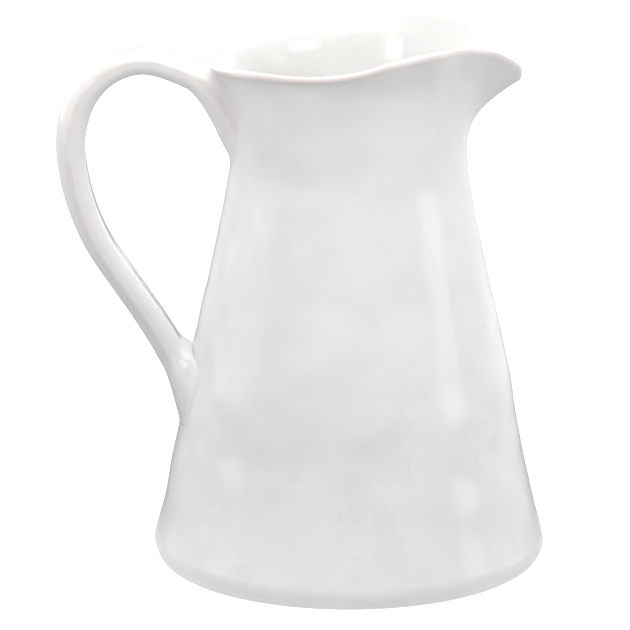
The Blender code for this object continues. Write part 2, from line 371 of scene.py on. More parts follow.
def wheel_tree() -> bpy.types.NodeTree:
    """Build the tree that throws a section round the axis, out to a flaring mouth.

    Returns:
        The tree. Its section guide holds a point for each ring, as radius and height, with
        flare (the share of the rise, of the way through the wall, and over the lip, or
        AS_DRAWN) and marks (outside, thin glaze, softness). Its mouth guide holds a point
        for each column, with lip (lean, thickness, how much longer the neck stays upright
        below it). The mesh carries outside, lining (the inside, which the glaze paints
        brighter as painted light), thin_glaze and softness.
    """
    tree = bpy.data.node_groups.new("throw_on_wheel", "GeometryNodeTree")
    g = Graph(tree)
    g.declare("Object", "Section", "Mouth")
    g.declare("Int", "Rings", "Columns")
    g.declare("Float", "Neck Radius", "Neck Height", "Start Share", "End Share", "Wall")
    g.declare("Float", "Wander", "Wander Size", "Dimple", "Dimple Size")
    g.declare("Float", "Heel Skew", "Heel Height")
    g.declare("Material", "Material")
    g.declare("Geometry", "Geometry", output=True)
    put = g.add("NodeGroupInput").outputs
    section, mouth = g.geometry_of(put["Section"]), g.geometry_of(put["Mouth"])
    grid, ring, column = wrapped_grid(g, put)

    drawn = g.look_up(section, "position", ring)
    rise, inward, over = g.split(g.look_up(section, "flare", ring))
    outside, thin, softness = g.split(g.look_up(section, "marks", ring))
    rim = g.look_up(mouth, "position", column)
    lean, lip, longer = g.split(g.look_up(mouth, "lip", column))
    rim_flat = g.vector("MULTIPLY", rim, (1.0, 1.0, 0.0))
    outwards = g.vector("NORMALIZE", rim_flat)
    rim_radius, rim_height = g.vector("LENGTH", rim_flat), g.split(rim)[2]

    # The flare is a smooth curve from the neck to the middle of the lip, with two handles.
    half_lip = g.math("MULTIPLY", lip, 0.5)
    sine, cosine = g.math("SINE", lean), g.math("COSINE", lean)
    back = g.math("MULTIPLY", half_lip, g.math("SUBTRACT", 1.0, cosine))
    down = g.math("MULTIPLY", half_lip, g.math("ADD", 1.0, sine))
    end_radius = g.math("SUBTRACT", rim_radius, back)
    end_height = g.math("SUBTRACT", rim_height, down)
    neck = g.join(put["Neck Radius"], 0.0, put["Neck Height"])
    end = g.join(end_radius, 0.0, end_height)
    upright = g.math("ADD", put["Start Share"], longer)
    climb = g.math("MULTIPLY", upright, g.math("SUBTRACT", end_height, put["Neck Height"]))
    handle1 = g.vector("ADD", neck, g.join(0.0, 0.0, climb))
    width = g.math("SUBTRACT", end_radius, put["Neck Radius"])
    reach = g.math("DIVIDE", g.math("MULTIPLY", put["End Share"], width), sine)
    handle2 = g.vector("SUBTRACT", end, g.scale(g.join(sine, 0.0, cosine), reach))
    first, second = g.mix(neck, handle1, rise), g.mix(handle1, handle2, rise)
    third = g.mix(handle2, end, rise)
    left, right = g.mix(first, second, rise), g.mix(second, third, rise)
    skin = g.mix(left, right, rise)

    # The wall lies inside that curve, and the lip runs over its end.
    along = g.vector("NORMALIZE", g.vector("SUBTRACT", right, left))
    along_x, _, along_z = g.split(along)
    facing = g.join(along_z, 0.0, g.math("MULTIPLY", along_x, -1.0))
    thinning = g.math("MULTIPLY", rise, g.math("SUBTRACT", lip, put["Wall"]))
    wall = g.math("ADD", put["Wall"], thinning)
    skin = g.vector("SUBTRACT", skin, g.scale(facing, g.math("MULTIPLY", wall, inward)))
    skin = g.vector("ADD", skin, g.scale(along, g.math("MULTIPLY", wall, over)))
    profile = g.mix(drawn, skin, g.math("GREATER_THAN", rise, AS_DRAWN[0] / 2))
    radius, _, height = g.split(profile)
    placed = g.vector("ADD", g.scale(outwards, radius), g.join(0.0, 0.0, height))
    mesh = g.move(grid, Position=placed)
    # The inside's mask, which the glaze uses to paint the deep inside brighter: painted light.
    lining = g.math("SUBTRACT", 1.0, outside)
    mesh = g.store(mesh, outside=outside, lining=lining, thin_glaze=thin, softness=softness)
    mesh = g.weld(mesh)
    mesh = g.add("GeometryNodeSetShadeSmooth", {"Geometry": mesh}).outputs[0]

    # Then the soft clay is dented, and the heel sags in, most on the handle's side.
    place = g.add("GeometryNodeInputPosition").outputs[0]
    normal = g.add("GeometryNodeInputNormal").outputs[0]
    soft = g.stored("softness")
    amount = g.math("MULTIPLY", dents(g, put, place, DIMPLE_SQUASH), soft)
    x, _, z = g.split(place)
    low = g.math("SUBTRACT", 1.0, g.math("DIVIDE", z, put["Heel Height"]))
    low = g.math("MAXIMUM", low, 0.0)
    side = g.math("DIVIDE", g.math("SUBTRACT", x, put["Neck Radius"]), put["Neck Radius"])
    skew = g.math("MULTIPLY", low, g.math("MINIMUM", side, 0.0))
    skew = g.math("MULTIPLY", skew, put["Heel Skew"])
    amount = g.math("ADD", amount, g.math("MULTIPLY", skew, soft))
    mesh = g.move(mesh, Offset=g.scale(normal, amount))
    g.hand_out(mesh, put["Material"])
    return tree


def nearest_skin(g: Graph, body: Socket, place: Socket) -> tuple[Socket, Socket]:
    """Find the nearest point of a surface.

    Args:
        g: The graph that the nodes go into.
        body: The surface.
        place: Where to look from.

    Returns:
        The nearest point, and the direction that the surface faces there.
    """
    found = []
    for kind in ("GeometryNodeInputPosition", "GeometryNodeInputNormal"):
        inputs = {"Mesh": body, "Value": g.add(kind).outputs[0], "Sample Position": place}
        node = g.add("GeometryNodeSampleNearestSurface", inputs, data_type="FLOAT_VECTOR")
        found.append(node.outputs["Value"])
    return found[0], found[1]


def strap_tree() -> bpy.types.NodeTree:
    """Build the tree that pulls a strap along a path and smears its ends onto the body.

    Returns:
        The tree. Its path guide holds a point for each ring, with way (the path's
        direction) and size (half width, thickness, how far the clay is smeared). Its
        outline guide holds a point for each column, as shares across and through the
        strap, with marks (thin glaze). The mesh carries spread, thin_glaze and joined.
    """
    tree = bpy.data.node_groups.new("pull_strap", "GeometryNodeTree")
    g = Graph(tree)
    g.declare("Object", "Path", "Outline", "Body")
    g.declare("Int", "Rings", "Columns", "Smoothing")
    g.declare("Float", "Buried", "Ridge Height")
    g.declare("Float", "Wander", "Wander Size", "Dimple", "Dimple Size")
    g.declare("Material", "Material")
    g.declare("Geometry", "Geometry", output=True)
    put = g.add("NodeGroupInput").outputs
    path, outline = g.geometry_of(put["Path"]), g.geometry_of(put["Outline"])
    lined = g.math("LESS_THAN", g.stored("outside"), 0.5)
    inputs = {"Geometry": g.geometry_of(put["Body"]), "Selection": lined}
    body = g.add("GeometryNodeDeleteGeometry", inputs, domain="POINT").outputs[0]
    grid, ring, column = wrapped_grid(g, put)

    middle = g.look_up(path, "position", ring)
    way_x, _, way_z = g.split(g.look_up(path, "way", ring))
    half, thickness, spread = g.split(g.look_up(path, "size", ring))
    across, through, _ = g.split(g.look_up(outline, "position", column))
    thin = g.split(g.look_up(outline, "marks", column))[0]
    climbed = g.math("DIVIDE", g.split(middle)[2], put["Ridge Height"])
    thin = g.math("MULTIPLY", thin, g.ramp(climbed, *RIDGE_FADE))
    out = g.join(way_z, 0.0, g.math("MULTIPLY", way_x, -1.0))
    placed = g.vector("ADD", middle, g.join(0.0, g.math("MULTIPLY", across, half), 0.0))
    placed = g.vector("ADD", placed, g.scale(out, g.math("MULTIPLY", through, thickness)))
    mesh = g.move(grid, Position=placed)
    mesh = g.weld(g.store(mesh, spread=spread, thin_glaze=thin))
    mesh = g.add("GeometryNodeFlipFaces", {"Mesh": mesh}).outputs[0]
    mesh = g.add("GeometryNodeSetShadeSmooth", {"Geometry": mesh}).outputs[0]

    place = g.add("GeometryNodeInputPosition").outputs[0]
    normal = g.add("GeometryNodeInputNormal").outputs[0]
    mesh = g.move(mesh, Offset=g.scale(normal, dents(g, put, place)))

    # Near the body the clay spreads sideways in a round fillet, and none lies too deep in it.
    nearest, facing = nearest_skin(g, body, place)
    clearance = g.vector("DOT_PRODUCT", g.vector("SUBTRACT", place, nearest), facing)
    reach = g.stored("spread")
    gap = g.math("MINIMUM", g.math("MAXIMUM", clearance, 0.0), reach)
    rest = g.math("SUBTRACT", reach, gap)
    chord = g.math("SUBTRACT", g.math("MULTIPLY", reach, reach), g.math("MULTIPLY", rest, rest))
    push = g.math("SUBTRACT", reach, g.math("SQRT", g.math("MAXIMUM", chord, 0.0)))
    off_body = g.scale(facing, g.vector("DOT_PRODUCT", normal, facing))
    sideways = g.vector("SUBTRACT", normal, off_body)
    share = g.ramp(g.vector("LENGTH", sideways), 0.0, SPREAD_FACING)
    shift = g.scale(g.vector("NORMALIZE", sideways), g.math("MULTIPLY", push, share))
    landed, landed_facing = nearest_skin(g, body, g.vector("ADD", place, shift))
    depth = g.math("MULTIPLY", put["Buried"], -1.0)
    lift = g.scale(landed_facing, g.math("MAXIMUM", clearance, depth))
    lifted = g.vector("ADD", landed, lift)
    smeared = g.mix(place, lifted, g.math("LESS_THAN", clearance, reach))
    mesh = g.store(mesh, joined=g.ramp(clearance, 0.0, JOINT_BAND, 1.0, 0.0))
    mesh = g.move(mesh, Position=smeared)
    blur = {"Value": place, "Iterations": put["Smoothing"], "Weight": g.stored("joined")}
    smooth = g.add("GeometryNodeBlurAttribute", blur, data_type="FLOAT_VECTOR").outputs[0]
    g.hand_out(g.move(mesh, Position=smooth), put["Material"])
    return tree


@dataclass(frozen=True)
class GlazeCharacter:
    """How a fired glaze varies over a piece.

    Attributes:
        mottle_size: The size of the slow drift from warm to cool.
        mottle_shift: Where that drift's noise is read, so that it is unlike the pools.
        wave_shift: Where the waviness is read, likewise.
        pool_levels: Levels of the soft noise between which the glaze pools.
        pool_heights: Shares of the run height between which the pools die out.
        tide: The level that draws a pool's outline, and that line's half width.
        specks: Cells in a metre that can each hold a pinhole.
        rare: The share of the cells that stay without one.
        speck_edge: Where a pinhole's edge starts and stops, as a share of its cell.
        speck_depth: How deep a pinhole is sunk, as a share of the waviness.
    """

    mottle_size: float = 0.032
    mottle_shift: Row = (0.31, 0.12, 0.07)
    wave_shift: Row = (0.05, 0.4, 0.2)
    pool_levels: Row = (0.50, 0.66)
    pool_heights: Row = (0.5, 1.0)
    tide: Row = (0.575, 0.012)
    specks: float = 70.0
    rare: float = 0.93
    speck_edge: Row = (0.03, 0.07)
    speck_depth: float = 0.4

    def build(self) -> bpy.types.NodeTree:
        """Build the shader group.

        Returns:
            The group. Mottle is the slow drift, Pool is where the glaze ran thick, Tide the
            faint outline of each pool, Speck a rare pinhole and Height the fine waviness of
            the surface with the pinholes sunk into it.
        """
        tree = bpy.data.node_groups.new("glaze_character", "ShaderNodeTree")
        g = Graph(tree)
        g.declare("Vector", "Place")
        g.declare("Float", "Pool Size", "Wave Size", "Run Height")
        g.declare("Float", "Mottle", "Pool", "Tide", "Speck", "Height", output=True)
        put = g.add("NodeGroupInput").outputs
        place = put["Place"]
        mottle = g.noise(g.vector("ADD", place, self.mottle_shift), self.mottle_size, 2.0)
        pools = g.noise(place, put["Pool Size"], 2.0)
        height = g.math("DIVIDE", g.split(place)[2], put["Run Height"])
        low = g.ramp(height, *self.pool_heights, 1.0, 0.0)
        pool = g.math("MULTIPLY", g.ramp(pools, *self.pool_levels), low)
        level, width = self.tide
        tide = g.math("ABSOLUTE", g.math("SUBTRACT", pools, level))
        tide = g.math("MULTIPLY", g.ramp(tide, 0.0, width, 1.0, 0.0), low)
        wave = g.noise(g.vector("ADD", place, self.wave_shift), put["Wave Size"], 2.0, 0.4)
        inputs = {"Vector": place, "Scale": self.specks}
        cells = g.add("ShaderNodeTexVoronoi", inputs, feature="F1").outputs
        rare = g.math("GREATER_THAN", g.split(cells["Color"])[0], self.rare)
        speck = g.math("MULTIPLY", g.ramp(cells["Distance"], *self.speck_edge, 1.0, 0.0), rare)
        height = g.math("SUBTRACT", wave, g.math("MULTIPLY", speck, self.speck_depth))
        outputs = {"Mottle": mottle, "Pool": pool, "Tide": tide, "Speck": speck, "Height": height}
        g.add("NodeGroupOutput", outputs)
        return tree


@dataclass(frozen=True)
class ThinEdge:
    """An edge where the glaze ran thin over the clay.

    Attributes:
        lump_size: The size of the breaks along the edge.
        levels: Levels of the soft noise between which the clay shows through.
        least: How much of it shows everywhere.
    """

    lump_size: float = 0.016
    levels: Row = (0.30, 0.66)
    least: float = 0.25

    def build(self) -> bpy.types.NodeTree:
        """Build the shader group, whose Mask is the Edge broken up along its length."""
        tree = bpy.data.node_groups.new("thin_edge", "ShaderNodeTree")
        g = Graph(tree)
        g.declare("Vector", "Place")
        g.declare("Float", "Edge")
        g.declare("Float", "Mask", output=True)
        put = g.add("NodeGroupInput").outputs
        breaks = g.ramp(g.noise(put["Place"], self.lump_size, 2.0), *self.levels, self.least)
        g.add("NodeGroupOutput", {"Mask": g.math("MULTIPLY", put["Edge"], breaks)})
        return tree


def start_material(name: str) -> tuple[bpy.types.Material, bpy.types.Node, Graph, Socket]:
    """Start a material.

    Args:
        name: The material's name.

    Returns:
        The material, its shader, its graph, and the place on the piece in metres.
    """
    material = bpy.data.materials.new(name)
    material.use_nodes = True
    g = Graph(material.node_tree)
    place = g.add("ShaderNodeTexCoord").outputs["Object"]
    return material, material.node_tree.nodes["Principled BSDF"], g, place


@dataclass(frozen=True)
class Glaze:
    """A glossy white glaze over a pinkish clay.

    Attributes:
        character: The shader group of GlazeCharacter.
        thin_edge: The shader group of ThinEdge.
        name: The material's name.
        mottle_levels: Levels of the slow drift between warm and cool.
        painted_bright_lining_heights: Heights between which the deep inside, painted brighter as
            painted light
        against the hollow's shade, turns to the mouth's colour.
        polish_levels: Levels of the slow drift between the glossiest and the dullest glaze.
        polish: How rough those two are, as shares of the roughness.
    """

    character: bpy.types.NodeTree
    thin_edge: bpy.types.NodeTree
    name: str
    warm: Colour = (0.878, 0.872, 0.858, 1.0)
    cool: Colour = (0.832, 0.828, 0.826, 1.0)
    pooled: Colour = (0.800, 0.788, 0.794, 1.0)
    # Painted light: the inside's colour is brighter than the outside glaze, so that the deep inside
    # looks lit where the hollow is in shade.
    lining: Colour = (0.945, 0.938, 0.917, 1.0)
    mouth: Colour = (0.868, 0.862, 0.846, 1.0)
    clay: Colour = (0.640, 0.440, 0.370, 1.0)
    pinhole: Colour = (0.660, 0.620, 0.580, 1.0)
    mottle_levels: Row = (0.35, 0.65)
    painted_bright_lining_heights: Row = (0.202, 0.236)
    pool_strength: float = 0.45
    tide_strength: float = 0.45
    painted_bright_lining_strength: float = 0.85
    break_strength: float = 0.42
    pool_size: float = 0.024
    run_height: float = 0.13
    wave_size: float = 0.0048
    wave_height: float = 0.00006
    roughness: float = 0.11
    polish_levels: Row = (0.25, 0.75)
    polish: Row = (0.85, 1.25)
    refraction: float = 1.52

    def build(self) -> bpy.types.Material:
        """Make the material, which reads a piece's own thin_glaze and lining attributes."""
        material, shader, g, place = start_material(self.name)
        sizes = {
            "Place": place, "Pool Size": self.pool_size, "Wave Size": self.wave_size,
            "Run Height": self.run_height,
        }
        character = g.add("ShaderNodeGroup", sizes, node_tree=self.character).outputs
        edge = g.add("ShaderNodeAttribute", attribute_name="thin_glaze").outputs["Fac"]
        breaks = {"Place": place, "Edge": edge}
        broken = g.add("ShaderNodeGroup", breaks, node_tree=self.thin_edge).outputs["Mask"]
        lining = g.add("ShaderNodeAttribute", attribute_name="lining").outputs["Fac"]
        # Painted light: deep inside, the colour is painted brighter, fading to the mouth's colour
        # near the rim.
        inner = g.tint(self.lining, self.mouth, g.ramp(g.split(place)[2], *self.painted_bright_lining_heights))
        mottle = character["Mottle"]
        colour = g.tint(self.warm, self.cool, g.ramp(mottle, *self.mottle_levels))
        for over, mask, strength in (
            (self.pooled, character["Pool"], self.pool_strength),
            (self.pooled, character["Tide"], self.tide_strength),
            # the inside, painted brighter as painted light
            (inner, lining, self.painted_bright_lining_strength),
            (self.clay, broken, self.break_strength),
        ):
            colour = g.tint(colour, over, g.math("MULTIPLY", mask, strength))
        colour = g.tint(colour, self.pinhole, character["Speck"])
        glossiest, dullest = (self.roughness * share for share in self.polish)
        bump = {"Height": character["Height"], "Strength": 1.0, "Distance": self.wave_height}
        look = {
            "Base Color": colour,
            "Roughness": g.ramp(mottle, *self.polish_levels, glossiest, dullest),
            "Normal": g.add("ShaderNodeBump", bump).outputs[0],
            "IOR": self.refraction,
        }
        g.feed(shader, look)
        return material


@dataclass(frozen=True)
class BareClay:
    """Unglazed, fired clay with a fine grain.

    Attributes:
        drift_levels: Levels of the slow drift between pale and dark.
        grit_levels: Levels of the grain between which grit shows.
        rough_levels: Levels of the grain between the least and the most rough clay.
    """

    name: str = "bare_clay"
    pale: Colour = (0.640, 0.500, 0.410, 1.0)
    dark: Colour = (0.500, 0.370, 0.290, 1.0)
    grit: Colour = (0.300, 0.210, 0.170, 1.0)
    drift_size: float = 0.018
    drift_levels: Row = (0.35, 0.65)
    grain_size: float = 0.0012
    grain_height: float = 0.0001
    grit_levels: Row = (0.62, 0.72)
    rough_levels: Row = (0.3, 0.7)
    roughness: Row = (0.78, 0.92)

    def build(self) -> bpy.types.Material:
        """Make the material and return it."""
        material, shader, g, place = start_material(self.name)
        drift = g.noise(place, self.drift_size, 2.0)
        grain = g.noise(place, self.grain_size, 3.0, 0.6)
        colour = g.tint(self.pale, self.dark, g.ramp(drift, *self.drift_levels))
        bump = {"Height": grain, "Strength": 1.0, "Distance": self.grain_height}
        look = {
            "Base Color": g.tint(colour, self.grit, g.ramp(grain, *self.grit_levels)),
            "Roughness": g.ramp(grain, *self.rough_levels, *self.roughness),
            "Normal": g.add("ShaderNodeBump", bump).outputs[0],
        }
        g.feed(shader, look)
        return material


@dataclass
class Vessel:
    """The thrown body: floor, conical wall, neck and flared rim with its spout.

    Attributes:
        mm: The frame's length of one drawn millimetre.
        heel: The height of the heel's lowest edge, and its rounding.
        outline: The outside of the body, each row a height and a radius.
        mouth: The rim, each row an azimuth in degrees, an outermost radius, a top height,
            an outward lean in degrees and a lip thickness. The far side mirrors it.
        start_share: How much of the flare's rise the neck stays upright for.
        front_upright: How much longer it does so at the front and the back.
        end_share: How much of the flare's width runs straight out to the lip.
        underside: The height of the hollow underneath.
        groove: The inner radius, outer radius and roof of the groove for the foot.
        groove_edges: The gap and the step before the groove, and the chamfer after it.
        turning: Depth and pitch of the turned marks on the underside, then on the floor.
        finger_marks: Depth and pitch of the marks inside, and how far from the neck they fade.
        floor_flat: How far the floor's marks stay clear of its rounded corner.
        soft_heights: Where the heel starts to be soft, and over how much height.
        rim_break: The angle over the lip where the glaze breaks most, and that break's
            spread, both in degrees.
        glaze_below_lip: The share of the flare where the glaze starts to thin, and its most.
        lip_softness: How much of the dents the lip and the lining take.
        wander: Depth and size of the slow unevenness.
        dimple: Depth and size of the thumb's dimples.
        heel_skew: How far the heel sags in beside the axis, and up to what height. It sags
            more towards the handle and less towards the spout.
    """

    mm: float
    heel: Row = (1.0, 8.8)
    outline: tuple[Row, ...] = (
        (10.6, 88.5), (32.0, 82.8), (55.0, 77.8), (85.0, 73.0), (115.0, 66.3), (145.0, 59.2),
        (170.0, 54.3), (188.0, 52.5), (206.0, 54.3),
    )
    neck_height: float = 188.0
    wall: float = 5.6
    mouth: tuple[Row, ...] = (
        (0, 76.3, 223.6, 57, 6.2), (12, 75.4, 230.4, 50, 5.8), (24, 68.2, 237.6, 36, 5.0),
        (38, 61.8, 240.4, 24, 4.5), (56, 62.4, 240.8, 24, 4.4), (75, 58.8, 237.7, 22, 4.4),
        (92, 57.2, 233.3, 24, 4.4), (112, 56.2, 231.0, 28, 4.4), (140, 56.8, 230.1, 34, 4.4),
        (163, 61.3, 229.2, 40, 4.4), (180, 62.8, 228.7, 43, 4.4),
    )
    start_share: float = 0.50
    front_upright: float = 0.22
    end_share: float = 0.63
    underside: float = 1.5
    floor: float = 6.2
    floor_corner: float = 9.0
    floor_flat: float = 2.0
    groove: Row = (62.2, 74.8, 3.6)
    groove_edges: Row = (0.3, 0.6, 0.4)
    turning: tuple[Row, Row] = ((0.24, 3.1), (0.30, 7.0))
    finger_marks: Row = (0.16, 8.5, 60.0)
    soft_heights: Row = (1.5, 4.0)
    rim_break: Row = (42.0, 38.0)
    glaze_below_lip: Row = (0.96, 0.6)
    lip_softness: float = 0.8
    columns: int = 312
    underside_rings: int = 40
    heel_rings: int = 14
    body_rings: int = 80
    flare_rings: int = 34
    lip_rings: int = 12
    inside_rings: int = 64
    corner_rings: int = 10
    floor_rings: int = 20
    wander: Row = (0.75, 75.0)
    dimple: Row = (1.0, 22.0)
    heel_skew: Row = (0.45, 45.0)

    def underneath(self) -> list[Row]:
        """Draw the underside, the foot's groove and the heel, from the middle outwards."""
        inner, outer, roof = self.groove
        gap, step, chamfer = self.groove_edges
        bottom, radius = self.heel
        widest = self.outline[0][1]
        hollow = steps(0.0, inner - gap, self.underside_rings)
        rings = [(r, self.underside + turned(r, *self.turning[0])) for r in hollow]
        rings += [(inner, self.underside + step), (inner, roof), (outer, roof)]
        rings += [(outer, bottom + chamfer), (outer + chamfer, bottom)]
        centre = (widest - radius, bottom + radius)
        return rings + arc(centre, (radius, radius), -90, 0, self.heel_rings)

    def outside(self) -> list[Row]:
        """Draw the outside from the heel up to just below the neck."""
        heights = steps(self.outline[0][0], self.neck_height, self.body_rings)[:-1]
        return [(follow(self.outline, z)[0], z) for z in heights]

    def inside(self) -> list[Row]:
        """Draw the inside from the neck down to the middle of the floor."""
        depth, pitch, fade = self.finger_marks
        step = 0.5
        rings = []
        for z in steps(self.neck_height, self.outline[0][0], self.inside_rings)[1:]:
            r = follow(self.outline, z)[0]
            slope = (follow(self.outline, z + step)[0] - r) / step
            share = min(1.0, (self.neck_height - z) / fade)
            marks = depth * math.sin(z * math.tau / pitch) * share
            length = math.hypot(1.0, slope)
            rings.append((r - (self.wall + marks) / length, z + self.wall * slope / length))
        top, corner = self.underside + self.floor, self.floor_corner
        rings = [ring for ring in rings if ring[1] > top + corner]
        edge = rings[-1][0]
        centre = (edge - corner, top + corner)
        rings += arc(centre, (corner, corner), 0, -90, self.corner_rings)
        flat = steps(edge - corner - self.floor_flat, 0.0, self.floor_rings)
        return rings + [(r, top + turned(r, *self.turning[1])) for r in flat]

    def section(self) -> bpy.types.Object:
        """Make the section guide, from the underside over the lip to the floor inside."""
        points: list[Row] = []
        flares: list[Row] = []
        marks: list[Row] = []

        def ring(radius: float, height: float, flare: Row, mark: Row) -> None:
            """Add one ring."""
            points.append((radius * self.mm, 0.0, height * self.mm))
            flares.append(flare)
            marks.append(mark)

        start, span = self.soft_heights
        for radius, height in self.underneath():
            heel = radius > self.groove[1]
            soft = min(1.0, max(0.0, (height - start) / span)) if heel else 0.0
            ring(radius, height, AS_DRAWN, (1.0, 0.0, soft))
        for radius, height in self.outside():
            ring(radius, height, AS_DRAWN, (1.0, 0.0, 1.0))
        start, most = self.glaze_below_lip
        for rise in steps(0.0, 1.0, self.flare_rings)[:-1]:
            thin = max(0.0, (rise - start) / (1.0 - start)) * most
            ring(0.0, 0.0, (rise, 0.0, 0.0), (1.0, thin, 1.0))
        middle, spread = self.rim_break
        for angle in steps(0.0, math.pi, self.lip_rings):
            thin = math.exp(-(((math.degrees(angle) - middle) / spread) ** 2))
            share = (1.0 - math.cos(angle)) / 2
            mark = (float(share < 0.5), thin, self.lip_softness)
            ring(0.0, 0.0, (1.0, share, math.sin(angle) / 2), mark)
        for rise in steps(1.0, 0.0, self.flare_rings)[1:]:
            ring(0.0, 0.0, (rise, 1.0, 0.0), (0.0, 0.0, 1.0))
        for radius, height in self.inside():
            ring(radius, height, AS_DRAWN, (0.0, 0.0, self.lip_softness if radius else 0.0))
        return make_guide("section", points, flare=flares, marks=marks)

    def mouth_guide(self) -> bpy.types.Object:
        """Make the mouth guide, one point for each column."""
        rows = [(-row[0], *row[1:]) for row in self.mouth[2:0:-1]]
        rows += list(self.mouth)
        rows += [(360 - row[0], *row[1:]) for row in self.mouth[-2:-4:-1]]
        points, lips = [], []
        for i in range(self.columns):
            azimuth = 360.0 * i / self.columns
            radius, height, lean, lip = follow(rows, min(azimuth, 360.0 - azimuth))
            angle = math.radians(azimuth)
            radius *= self.mm
            points.append((radius * math.cos(angle), radius * math.sin(angle), height * self.mm))
            longer = self.front_upright * math.sin(angle) ** 2
            lips.append((math.radians(lean), lip * self.mm, longer))
        return make_guide("mouth", points, lip=lips)

    def build(self, tree: bpy.types.NodeTree, material: bpy.types.Material) -> bpy.types.Object:
        """Throw the body.

        Args:
            tree: The wheel's tree.
            material: The glaze.

        Returns:
            The finished piece.
        """
        section, mouth = self.section(), self.mouth_guide()
        neck_radius = follow(self.outline, self.neck_height)[0]
        values = {
            "Section": section, "Mouth": mouth, "Rings": len(section.data.vertices),
            "Columns": self.columns, "Neck Radius": neck_radius * self.mm,
            "Neck Height": self.neck_height * self.mm, "Start Share": self.start_share,
            "End Share": self.end_share, "Wall": self.wall * self.mm,
            **unevenness(self.mm, self.wander, self.dimple),
            "Heel Skew": self.heel_skew[0] * self.mm, "Heel Height": self.heel_skew[1] * self.mm,
            "Material": material,
        }
        piece = bake("pitcher_body", tree, values)
        for guide in (section, mouth):
            bpy.data.objects.remove(guide)
        return piece


@dataclass
class Foot:
    """The unglazed ring that the pitcher stands on, with fine turned marks on its flat.

    Attributes:
        mm: The frame's length of one drawn millimetre.
        turning: Depth and pitch of the turned marks.
        lip: A lip for the wheel, whose lean keeps its unused flare from being endless.
    """

    mm: float
    inner: float = 62.5
    outer: float = 74.2
    height: float = 3.2
    rounding: float = 0.6
    turning: Row = (0.12, 1.6)
    lip: Row = (0.5, 0.0, 0.0)
    columns: int = 240
    side_rings: int = 8
    bend_rings: int = 5
    flat_rings: int = 40
    top_rings: int = 6

    def section(self) -> list[Row]:
        """Draw the ring's section, down the inner side and up the outer one."""
        inner, outer, bend = self.inner, self.outer, self.rounding
        rings = [(inner, z) for z in steps(self.height, bend, self.side_rings)]
        rings += arc((inner + bend, bend), (bend, bend), 180, 270, self.bend_rings)
        for r in steps(inner + bend, outer - bend, self.flat_rings)[1:-1]:
            rings.append((r, turned(r - inner, *self.turning)))
        rings += arc((outer - bend, bend), (bend, bend), -90, 0, self.bend_rings)
        rings += [(outer, z) for z in steps(bend, self.height, self.side_rings)[1:]]
        return rings + [(r, self.height) for r in steps(outer, inner, self.top_rings)[1:]]

    def build(self, tree: bpy.types.NodeTree, material: bpy.types.Material) -> bpy.types.Object:
        """Turn the ring.

        Args:
            tree: The wheel's tree.
            material: The bare clay.

        Returns:
            The finished piece.
        """
        points = [(r * self.mm, 0.0, z * self.mm) for r, z in self.section()]
        flares, marks = [AS_DRAWN] * len(points), [(1.0, 0.0, 0.0)] * len(points)
        section = make_guide("section", points, flare=flares, marks=marks)
        angles = [math.tau * i / self.columns for i in range(self.columns)]
        circle = [(math.cos(a), math.sin(a), 0.0) for a in angles]
        mouth = make_guide("mouth", circle, lip=[self.lip] * len(circle))
        values = {
            "Section": section, "Mouth": mouth, "Rings": len(points), "Columns": self.columns,
            "Neck Radius": self.inner * self.mm, "Neck Height": 0.0, "Start Share": 0.5,
            "End Share": 0.5, "Wall": 0.0, **unevenness(1.0, (0.0, 1.0), (0.0, 1.0)),
            "Heel Skew": 0.0, "Heel Height": 1.0, "Material": material,
        }
        piece = bake("pitcher_foot", tree, values)
        for guide in (section, mouth):
            bpy.data.objects.remove(guide)
        return piece


